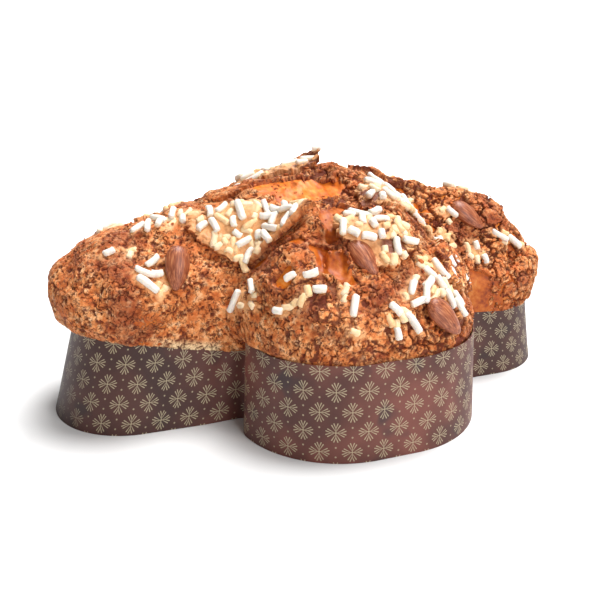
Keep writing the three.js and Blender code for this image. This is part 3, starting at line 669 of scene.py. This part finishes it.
VOXEL = 0.62      # edge of the mesh's squares
ISLAND_SIZE, FISSURE_DEPTH = 10.0, 2.2
CRACKLE_SIZE, CRACKLE_DEPTH = 5.0, 1.0
PIT_SIZE, PIT_DEPTH = 2.6, 0.9
LAYER_SIZE, LAYER_STEP = 7.0, 0.3        # the icing dried and flaked in layers
BARE_DEPTH = 3.4
# Bare dough: x, y, half length, half width, turn in degrees
BARE = [(-15, -14, 33, 12, -28), (-9, -55, 21, 8, 70), (-19, -79, 15, 8, -66), (-40, -54, 17, 4, -45),
        (91, -42, 10, 3, 0), (14, 26, 17, 9, 20), (-60, 40, 16, 6, 150), (52, 52, 13, 5, -40)]
LOBES = {"icing_tail": (180, 40), "icing_head": (0, 44), "icing_front_wing": (-92, 48),
         "icing_back_wing": (92, 48)}    # middle direction and half width in degrees


def get_normals(piece):
    normals = np.empty(len(piece.data.vertices) * 3)
    piece.data.vertex_normals.foreach_get("vector", normals)
    return normals.reshape(-1, 3)


def get_middles(piece):
    """The middles of a piece's faces."""
    middles = np.empty(len(piece.data.polygons) * 3)
    piece.data.polygons.foreach_get("center", middles)
    return middles.reshape(-1, 3)


def pick(piece):
    """Selects this piece alone."""
    bpy.ops.object.select_all(action="DESELECT")
    piece.select_set(True)
    bpy.context.view_layer.objects.active = piece


def cells(points, size, seed):
    """Distances to the nearest and second nearest scattered point, in cell sizes, and its own number."""
    scaled = points / size
    base = np.floor(scaled).astype(np.int64)
    first, second, number = np.full(len(points), 9.0), np.full(len(points), 9.0), np.zeros(len(points))
    for n in range(27):
        at = base + np.array([n % 3 - 1, n // 3 % 3 - 1, n // 9 - 1])
        i, j, k = at[:, 0] + seed, at[:, 1], at[:, 2]
        spot = at + np.stack([lattice_value(i, j, k), lattice_value(j, k, i + 7),
                              lattice_value(k, i + 3, j)], axis=1)
        distance = np.linalg.norm(spot - scaled, axis=1)
        second = np.where(distance < first, first, np.minimum(second, distance))
        number = np.where(distance < first, lattice_value(i, k, j + 11), number)
        first = np.minimum(first, distance)
    return first, second, number


def bareness(points):
    """1 where the dough is bare, 0 on the icing, with a ragged edge."""
    ragged = 0.22 * noise(points, 8.0) + 0.16 * noise(points, 3.2)
    reach = np.min([patch_reach(p, points[:, 0], points[:, 1]) for p in BARE], axis=0)
    bits = smoothstep(noise(points + 60, 15.0), 0.74, 0.79) * (points[:, 2] > 80)
    return np.maximum(1 - smoothstep(reach + ragged, 0.8, 0.92), bits)


def sugar_distance(points, on_plates):
    """Distance from each point to the nearest sugar rod's middle line."""
    spots = [s[:3] for s in sugar_spots if s[3] == on_plates]
    tree_of_spots = kdtree.KDTree(len(spots))
    for n, spot in enumerate(spots):
        tree_of_spots.insert(spot, n)
    tree_of_spots.balance()
    return np.array([tree_of_spots.find(p)[2] for p in points])


def icing_relief(points, melt):
    """Height of the cracked icing over the crust, how deep in a crack each point lies, and its shade."""
    bend = np.stack([noise(points + s, 6.0) for s in (0.0, 40.0, 80.0)], axis=1)
    fine_bend = np.stack([noise(points + s, 2.0) for s in (11.0, 51.0, 91.0)], axis=1)
    coarse = smoothstep(0.5 * noise(points + 5, 30.0) + (points[:, 0] + 35) / 110, 0.1, 0.55)
    first, second, number = cells(points + 3.0 * bend + 1.6 * fine_bend, ISLAND_SIZE, 3)
    width = 0.02 + 0.1 * smoothstep(noise(points + 17, 14.0), -0.4, 0.6)
    fissure = (1 - smoothstep(second - first, width, width + 0.05)) * coarse
    layer = 3 * noise(points + 1.5 * bend + 0.8 * fine_bend + 13, LAYER_SIZE)
    layered = np.floor(layer) + smoothstep(layer - np.floor(layer), 0.75, 1.0)
    torn = noise(points + 0.8 * fine_bend, PIT_SIZE) + 0.7 * noise(points + 7, 1.2)
    pit = smoothstep(torn, 0.56, 0.72)
    crackle = np.minimum(np.abs(noise(points + 1.4 * fine_bend + 50, CRACKLE_SIZE)),
                         np.abs(noise(points + 1.2 * fine_bend + 70, 0.7 * CRACKLE_SIZE)))
    crackle = 1 - smoothstep(crackle, 0.025, 0.07)
    crackle *= smoothstep(noise(points + 31, 7.0), -0.35, 0.1)
    calm = 1 - 0.75 * melt
    height = (number - 0.5) * coarse + LAYER_STEP * layered
    height = height + 0.4 * noise(points, 5.0) + 0.22 * noise(points, 1.3)
    depth = np.maximum(FISSURE_DEPTH * fissure, np.maximum(CRACKLE_DEPTH * crackle, PIT_DEPTH * pit) * calm)
    shade = 0.5 + 0.5 * noise(points + 3, 2.2)
    return height * calm + 0.5 * melt - depth, np.clip(depth / 0.8, 0, 1), shade


icing = risen_cake("icing", DOUGH_CELLS, 0.0)
evened = icing.modifiers.new("even mesh", "REMESH")
evened.mode = "VOXEL"
evened.voxel_size = VOXEL
bpy.ops.object.modifier_apply(modifier="even mesh")

middles = get_middles(icing)
middle_angle = np.arctan2(middles[:, 1], middles[:, 0])
bpy.context.tool_settings.mesh_select_mode = (False, False, True)
bpy.ops.object.mode_set(mode="EDIT")
bpy.ops.mesh.select_all(action="DESELECT")
bpy.ops.object.mode_set(mode="OBJECT")
icing.data.polygons.foreach_set("select", middles[:, 2] < lip_edge(middle_angle) - 0.3)
bpy.ops.object.mode_set(mode="EDIT")
bpy.ops.mesh.delete(type="FACE")
bpy.ops.object.mode_set(mode="OBJECT")

points = get_points(icing)
angle = np.arctan2(points[:, 1], points[:, 0])
bare = bareness(points)
halo = 1 - smoothstep(sugar_distance(points, False) + 0.9 * noise(points, 3.0), 1.8, 4.6)
melt = halo * smoothstep(noise(points + 23, 9.0), -0.8, 0.2)
height, crack, shade = icing_relief(points, melt)
hang = smoothstep(around(angle, OVER_WING, OVER_TAIL, OVER_HEAD), 0, 4)
free = np.maximum(hang, smoothstep(points[:, 2], CASE_HEIGHT + 0.5, CASE_HEIGHT + 4))
height = np.where(height > 0, height * free, height * np.maximum(free, 0.3))
lift = height * (1 - bare) - BARE_DEPTH * bare
set_points(icing, points + get_normals(icing) * lift[:, None])
low_edge = 1 - smoothstep(points[:, 2] - lip_edge(angle), 3.0, 9.0)
pale = low_edge * hang * smoothstep(noise(points + 3, 12.0), -0.3, 0.3) * (points[:, 0] < 60)
# crack, how deep in a crack each point lies, is what the material darkens by as painted shade.
keep_at_points(icing, crack=crack, melt=melt, pale=pale, shade=shade)

lobe_pieces = [icing]
for name, (direction, half) in list(LOBES.items())[:-1]:
    middles = get_middles(icing)
    off = (np.degrees(np.arctan2(middles[:, 1], middles[:, 0])) - direction + 180) % 360 - 180
    icing.data.polygons.foreach_set("select", np.abs(off) < half)
    before = set(bpy.data.objects)
    bpy.ops.object.mode_set(mode="EDIT")
    bpy.ops.mesh.separate(type="SELECTED")
    bpy.ops.object.mode_set(mode="OBJECT")
    part = next(o for o in bpy.data.objects if o not in before)
    part.name = name
    lobe_pieces.append(part)
icing.name = list(LOBES)[-1]

# Dried almond icing: matt, sandy and pitted, tan on top, red-brown in its cracks (its toasted colour, and
# painted shade that deepens with a crack's depth), and glazed pale caramel where sugar melted into it.
almond_icing, tree, shader = new_material("dried_almond_icing")
place = node(tree, "TexCoord").outputs["Object"]
broad = node(tree, "TexNoise", {"Vector": place, "Scale": 1 / (26 * MM), "Detail": 2.0})
middle = node(tree, "TexNoise", {"Vector": place, "Scale": 1 / (3.6 * MM), "Detail": 4.0})
sandy = node(tree, "TexNoise", {"Vector": place, "Scale": 1 / (1.5 * MM), "Detail": 3.0})
shade = node(tree, "Attribute", attribute_name="shade").outputs["Fac"]
tone = node(tree, "Math", {0: shade, 1: 0.25}, operation="MULTIPLY")
tone = node(tree, "Math", {0: middle, 1: 0.4, 2: tone}, operation="MULTIPLY_ADD")
tone = node(tree, "Math", {0: sandy, 1: 0.35, 2: tone}, operation="MULTIPLY_ADD")
tan = node(tree, "ValToRGB", {0: tone},
           stops=[(0.34, "#ba5c24"), (0.46, "#d88042"), (0.55, "#e89e62"), (0.68, "#f6c292")])
drift = node(tree, "TexNoise", {"Vector": place, "Scale": 1 / (15 * MM), "Detail": 3.0})
thin = node(tree, "MapRange", {0: drift, 1: 0.5, 2: 0.6, 3: 0.0, 4: 0.6})
thinned = node(tree, "Mix", {0: thin, 6: tan.outputs[0], 7: linear("#bc5a1a")}, data_type="RGBA")
toast = node(tree, "MapRange", {0: broad, 1: 0.5, 2: 0.64, 3: 0.0, 4: 0.6})
toasted = node(tree, "Mix", {0: toast, 6: thinned.outputs[2], 7: linear("#9a6248")},
               data_type="RGBA", blend_type="MULTIPLY")
melted = node(tree, "Attribute", attribute_name="melt").outputs["Fac"]
melted = node(tree, "Math", {0: melted, 1: 0.75}, operation="MULTIPLY")
glazed = node(tree, "Mix", {0: melted, 6: toasted.outputs[2], 7: linear("#e2a870")}, data_type="RGBA")
pale_rim = node(tree, "Attribute", attribute_name="pale").outputs["Fac"]
glazed = node(tree, "Mix", {0: pale_rim, 6: glazed.outputs[2], 7: linear("#f4d0a0")}, data_type="RGBA")
# Cracks too fine for the mesh: torn specks, and split lines between them
torn = node(tree, "TexNoise", {"Vector": place, "Scale": 1 / (2.3 * MM), "Detail": 5.0, "Roughness": 0.72})
speck = node(tree, "MapRange", {0: torn, 1: 0.555, 2: 0.6, 3: 0.0, 4: 1.0})
split = node(tree, "TexNoise",
             {"Vector": place, "Scale": 1 / (4.4 * MM), "Detail": 5.0, "Roughness": 0.66})
split = node(tree, "Math", {0: split, 1: 0.5}, operation="SUBTRACT")
split = node(tree, "Math", {0: split}, operation="ABSOLUTE")
split = node(tree, "MapRange", {0: split, 1: 0.006, 2: 0.022, 3: 0.9, 4: 0.0})
patchy = node(tree, "MapRange", {0: middle, 1: 0.4, 2: 0.54, 3: 0.25, 4: 1.0})
hair = node(tree, "Math", {0: speck, 1: split}, operation="MAXIMUM")
hair = node(tree, "Math", {0: hair, 1: patchy}, operation="MULTIPLY")
dry_part = node(tree, "MapRange", {0: melted, 1: 0.1, 2: 0.5, 3: 1.0, 4: 0.15})
hair = node(tree, "Math", {0: hair, 1: dry_part}, operation="MULTIPLY")
# Painted shade: the cracks darken with their depth, on top of the toasted colour within them.
cavity_shade = node(tree, "Attribute", attribute_name="crack").outputs["Fac"]
cleft = node(tree, "Math", {0: hair, 1: cavity_shade}, operation="MAXIMUM")
cleft_tone = node(tree, "Math", {0: cleft, 1: 0.9}, operation="MULTIPLY")
cracked = node(tree, "Mix", {0: cleft_tone, 6: glazed.outputs[2], 7: linear("#661f05")}, data_type="RGBA")
tree.links.new(cracked.outputs[2], shader.inputs["Base Color"])
gloss = node(tree, "MapRange", {0: melted, 1: 0.0, 2: 0.75, 3: 0.75, 4: 0.45})
tree.links.new(gloss.outputs[0], shader.inputs["Roughness"])
shader.inputs["IOR"].default_value = 1.45
grit = node(tree, "Math", {0: sandy, 1: hair}, operation="SUBTRACT")
bump = node(tree, "Bump", {"Height": grit, "Strength": 0.8, "Distance": 0.6 * MM})
tree.links.new(bump.outputs[0], shader.inputs["Normal"])

for piece in lobe_pieces:
    direction = math.radians(LOBES[piece.name][0])
    pick(piece)
    bpy.context.tool_settings.mesh_select_mode = (True, False, False)
    bpy.ops.object.mode_set(mode="EDIT")
    bpy.ops.mesh.select_all(action="DESELECT")
    bpy.ops.mesh.select_non_manifold()
    bpy.ops.mesh.extrude_edges_move(TRANSFORM_OT_translate={"value": (0, 0, 0)})
    bpy.ops.mesh.merge(type="CENTER")
    bpy.ops.object.mode_set(mode="OBJECT")
    core = next(v for v in piece.data.vertices if v.select)
    core.co = (60 * math.cos(direction), 60 * math.sin(direction), 58)
    bpy.ops.object.shade_smooth_by_angle(angle=math.radians(35))
    to_metres(piece)
    piece.data.materials.append(almond_icing)
    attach(piece, "root")
    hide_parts("cake")

# ---- Raised plates of icing ------------------------------------------------------------------------
# Thick pours of icing full of sugar that baked into stiff plates and broke away from the rising dough,
# so that one edge curls up. Caramel-coloured glaze on top, with crumbly broken edges.

PLATE_CELLS = 74
PLATE_RELIEF = 0.45      # the plates' share of the icing's relief


def plate_skin(plate, radius, angle, top):
    """Points of a plate's upper or lower face."""
    a = math.radians(plate[4])
    edge = math.radians(plate[6]) - a
    wheel = np.stack([6 * np.cos(angle), 6 * np.sin(angle), np.full_like(angle, plate[0])], axis=1)
    ragged = 1 + 0.07 * np.sin(3 * angle + plate[0]) + 0.05 * np.sin(7 * angle + plate[1])
    torn = 0.1 * noise(wheel, 1.6) + 0.09 * noise(wheel, 0.55) + 0.05 * noise(wheel, 0.25)
    ragged = ragged + torn * radius ** 2
    u = radius * ragged * plate[2] * np.cos(angle)
    v = radius * ragged * plate[3] * np.sin(angle)
    points, normals = crust_at(plate[0] + u * math.cos(a) - v * math.sin(a),
                               plate[1] + u * math.sin(a) + v * math.cos(a))
    lift = plate[5] * np.maximum(0, radius * np.cos(angle - edge)) ** 2
    lumps = 0.9 * noise(points, 7.0) + 0.45 * noise(points, 2.6) + 0.22 * noise(points, 1.2)
    near_rim = smoothstep(radius, 0.75, 1.0)
    if top:
        rise = PLATE_THICKNESS * (1 - 0.25 * radius ** 6) + lumps * (1 + 0.6 * near_rim)
    else:
        rise = -PLATE_SINK + 0.4 * lumps + 0.8 * near_rim * (lift > 1.0)
    return points + normals * (lift + rise)[:, None]


sugared_plates, dry_plates = [], []
for plate in PLATES:
    bpy.ops.object.select_all(action="DESELECT")
    bpy.ops.mesh.primitive_grid_add(x_subdivisions=PLATE_CELLS, y_subdivisions=PLATE_CELLS, size=2)
    piece = bpy.context.object
    wall = piece.modifiers.new("thickness", "SOLIDIFY")
    wall.thickness = 0.1
    wall.offset = -1
    bpy.ops.object.modifier_apply(modifier="thickness")
    square = get_points(piece)
    radius, angle = square_to_disc(square[:, 0], square[:, 1])
    on_top = square[:, 2] > -0.05
    set_points(piece, np.where(on_top[:, None], plate_skin(plate, radius, angle, True),
                               plate_skin(plate, radius, angle, False)))
    (sugared_plates if plate[7] else dry_plates).append(piece)
for name, pieces in (("icing_flakes", dry_plates), ("icing_plates", sugared_plates)):
    bpy.ops.object.select_all(action="DESELECT")
    for piece in pieces:
        piece.select_set(True)
    bpy.context.view_layer.objects.active = pieces[0]
    bpy.ops.object.join()
    bpy.context.object.name = name
for piece in (dry_plates[0], sugared_plates[0]):
    points, normals = get_points(piece), get_normals(piece)
    glazed_here = (piece == sugared_plates[0]) * smoothstep(normals[:, 2], -0.2, 0.3)
    from_sugar = sugar_distance(points, True) + 1.2 * noise(points, 3.0)
    melt = glazed_here * (1 - smoothstep(from_sugar, 3.5, 8.0))
    height, crack, shade = icing_relief(points, melt)
    set_points(piece, points + normals * (PLATE_RELIEF * height)[:, None])
    # crack darkens the plates' cracks as painted shade, as on the icing.
    keep_at_points(piece, crack=crack, melt=melt, shade=shade)
    pick(piece)
    bpy.ops.object.shade_smooth_by_angle(angle=math.radians(40))
    to_metres(piece)
    piece.data.materials.append(almond_icing)
    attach(piece, "root")
    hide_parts("cake")

# ---- Almonds ---------------------------------------------------------------------------------------
# Whole almonds in their brown skins, pressed into the icing before baking: blunt at one end, pointed at
# the other, with fine wrinkles running along them.

ALMOND_LENGTH, ALMOND_WIDTH, ALMOND_THICKNESS, ALMOND_RISE = 24.0, 12.5, 8.0, 1.2

# Almond skin, toasted: matt satin brown, paler along its raised veins.
almond_skin, tree, shader = new_material("toasted_almond_skin")
along = node(tree, "Attribute", attribute_name="along_almond").outputs["Vector"]
veins = node(tree, "TexNoise", {"Vector": along, "Scale": 1.0, "Detail": 3.0})
skin = node(tree, "ValToRGB", {0: veins},
            stops=[(0.34, "#6c3218"), (0.48, "#8e492a"), (0.58, "#a05936"), (0.7, "#b8784e")])
tree.links.new(skin.outputs[0], shader.inputs["Base Color"])
shader.inputs["Roughness"].default_value = 0.45
bump = node(tree, "Bump", {"Height": veins, "Strength": 0.4, "Distance": 0.3 * MM})
tree.links.new(bump.outputs[0], shader.inputs["Normal"])

for number, (x, y, turn, scale) in enumerate(ALMONDS, start=1):
    bpy.ops.object.select_all(action="DESELECT")
    bpy.ops.mesh.primitive_uv_sphere_add(segments=44, ring_count=30, radius=1)
    almond = bpy.context.object
    almond.name = f"almond_skin_{number}"
    shape = get_points(almond)[:, [0, 2, 1]] * [1, 1, -1]
    taper = (1 - 0.3 * shape[:, 1]) * (1 + 0.02 * noise(shape * [7, 1.0, 7] + 5 * number, 1.0))
    local = shape * [ALMOND_WIDTH / 2 * scale, ALMOND_LENGTH / 2 * scale, ALMOND_THICKNESS / 2 * scale]
    local[:, [0, 2]] *= taper[:, None]
    rotation, spot = lie_on_crust(x, y, math.radians(turn), ALMOND_RISE)
    set_points(almond, (local @ rotation.T + spot) * MM)
    along = almond.data.attributes.new("along_almond", "FLOAT_VECTOR", "POINT")
    along.data.foreach_set("vector", (local * [1.5, 0.12, 1.5] + 9 * number).ravel())
    bpy.ops.object.shade_smooth()
    almond.data.materials.append(almond_skin)
    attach(almond, "root")
    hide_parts(f"almond_{number}")

# ---- Crumbs ----------------------------------------------------------------------------------------
# Crumbs and chips of dried icing that broke off along the cracks and stuck where they fell.

CRUMBS = 700

bpy.ops.object.select_all(action="DESELECT")
bpy.ops.mesh.primitive_ico_sphere_add(subdivisions=1, radius=1)
pattern = bpy.context.object
crumb_points = get_points(pattern)
crumb_faces = [list(p.vertices) for p in pattern.data.polygons]
bpy.data.objects.remove(pattern)
crumb_shapes = []
while len(crumb_shapes) < CRUMBS:
    turn, reach = 2 * math.pi * next_number(), 0.985 * math.sqrt(next_number())
    radius = reach * float(crust_radius(np.array(turn)))
    x, y = radius * math.cos(turn), radius * math.sin(turn)
    size = 0.4 + 0.7 * next_number() ** 2
    rotation, spot = lie_on_crust(x, y, 2 * math.pi * next_number(), 0.3 + 0.5 * size)
    lumpy = crumb_points * (1 + 0.45 * noise(crumb_points * 2 + 3 * len(crumb_shapes), 1.0))[:, None]
    shape = lumpy * [size * (1 + next_number()), size * (1 + 0.6 * next_number()), 0.7 * size]
    crumb_shapes.append((shape @ rotation.T + spot, crumb_faces))
crumbs = joined("icing_crumbs", crumb_shapes)
crumbs.data.materials.append(almond_icing)
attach(crumbs, "root")
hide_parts("cake")

# ---- Floor, light and camera -----------------------------------------------------------------------
# A white paper sweep that curves up behind the cake, under one very wide soft light from above, a
# weaker one in front on the right, one that only lights the sweep, and the pale room.

SWEEP_FRONT, SWEEP_BACK, SWEEP_CURVE, SWEEP_HIGH = -2.5, 2.0, 1.2, 2.5      # metres
SWEEP_HALF_WIDTH, SWEEP_ROWS = 4, 60
CAMERA_YAW = math.radians(20.1)

bpy.ops.object.select_all(action="DESELECT")
bpy.ops.mesh.primitive_grid_add(x_subdivisions=1, y_subdivisions=SWEEP_ROWS, size=2)
floor = bpy.context.object
floor.name = "floor"
points = get_points(floor)
arc = SWEEP_CURVE * math.pi / 2
run = (points[:, 1] + 1) / 2 * (SWEEP_BACK - SWEEP_FRONT + arc + SWEEP_HIGH)
turn = np.clip((run - (SWEEP_BACK - SWEEP_FRONT)) / SWEEP_CURVE, 0, math.pi / 2)
back = np.minimum(run, SWEEP_BACK - SWEEP_FRONT) + SWEEP_FRONT + SWEEP_CURVE * np.sin(turn)
rise = SWEEP_CURVE * (1 - np.cos(turn)) + np.maximum(0, run - (SWEEP_BACK - SWEEP_FRONT) - arc)
c, s = math.cos(CAMERA_YAW), math.sin(CAMERA_YAW)
across = SWEEP_HALF_WIDTH * points[:, 0]
set_points(floor, np.stack([across * c + back * s, back * c - across * s, rise], axis=1))
bpy.ops.object.shade_smooth()

# Matt white background paper: it takes the soft shadow near the cake and stays plain white further off.
white, tree, shader = new_material("white_sweep")
place = node(tree, "TexCoord").outputs["Object"]
away = node(tree, "VectorMath", {0: place}, operation="LENGTH")
whiter = node(tree, "MapRange", {0: away.outputs["Value"], 1: 0.25, 2: 0.6, 3: 0.0, 4: 1.0})
paper_white = node(tree, "Mix", {0: whiter, 6: linear("#dcdcdc"), 7: linear("#fafafa")}, data_type="RGBA")
tree.links.new(paper_white.outputs[2], shader.inputs["Base Color"])
shader.inputs["Roughness"].default_value = 0.9
floor.data.materials.append(white)

# Name, kind, place and target in metres, width in metres or in degrees, power in watts or strength
LIGHTS = [("overhead", "SUN", (0.3, 0.1, 1.0), (0, 0, 0), 26, 4.4),
          ("front", "AREA", (0.4, -1.35, 0.85), (0, 0, 0.06), 0.8, 16),
          ("backdrop", "AREA", (0.4, 1.1, 1.7), (1.1, 3.0, 0.3), 1.5, 90)]
for name, kind, spot, target, width, power in LIGHTS:
    data = bpy.data.lights.new(name, kind)
    if kind == "SUN":
        data.angle = math.radians(width)
    else:
        data.size = width
    data.energy = power
    light = bpy.data.objects.new(name, data)
    light.location = spot
    dx, dy, dz = (b - a for a, b in zip(spot, target))
    light.rotation_euler = (math.atan2(math.hypot(dx, dy), -dz), 0, -math.atan2(dx, dy))
    bpy.context.scene.collection.objects.link(light)
world = bpy.data.worlds.new("studio")
bpy.context.scene.world = world
world.use_nodes = True
world.node_tree.nodes["Background"].inputs["Color"].default_value = (1, 1, 1, 1)
world.node_tree.nodes["Background"].inputs["Strength"].default_value = 0.2
bpy.context.scene.view_settings.view_transform = "Standard"

CAMERA_PITCH, CAMERA_LENS = math.radians(19.9), 46.98
CAMERA_BESIDE, CAMERA_BACK, CAMERA_HEIGHT = -6.87, 453.4, 212.0
camera_data = bpy.data.cameras.new("camera")
camera_data.lens = CAMERA_LENS
camera_data.sensor_width = 36
camera = bpy.data.objects.new("camera", camera_data)
bpy.context.scene.collection.objects.link(camera)
camera.location = ((CAMERA_BESIDE * c - CAMERA_BACK * s) * MM, (-CAMERA_BESIDE * s - CAMERA_BACK * c) * MM,
                   CAMERA_HEIGHT * MM)
camera.rotation_euler = (math.pi / 2 - CAMERA_PITCH, 0, -CAMERA_YAW)
bpy.context.scene.camera = camera
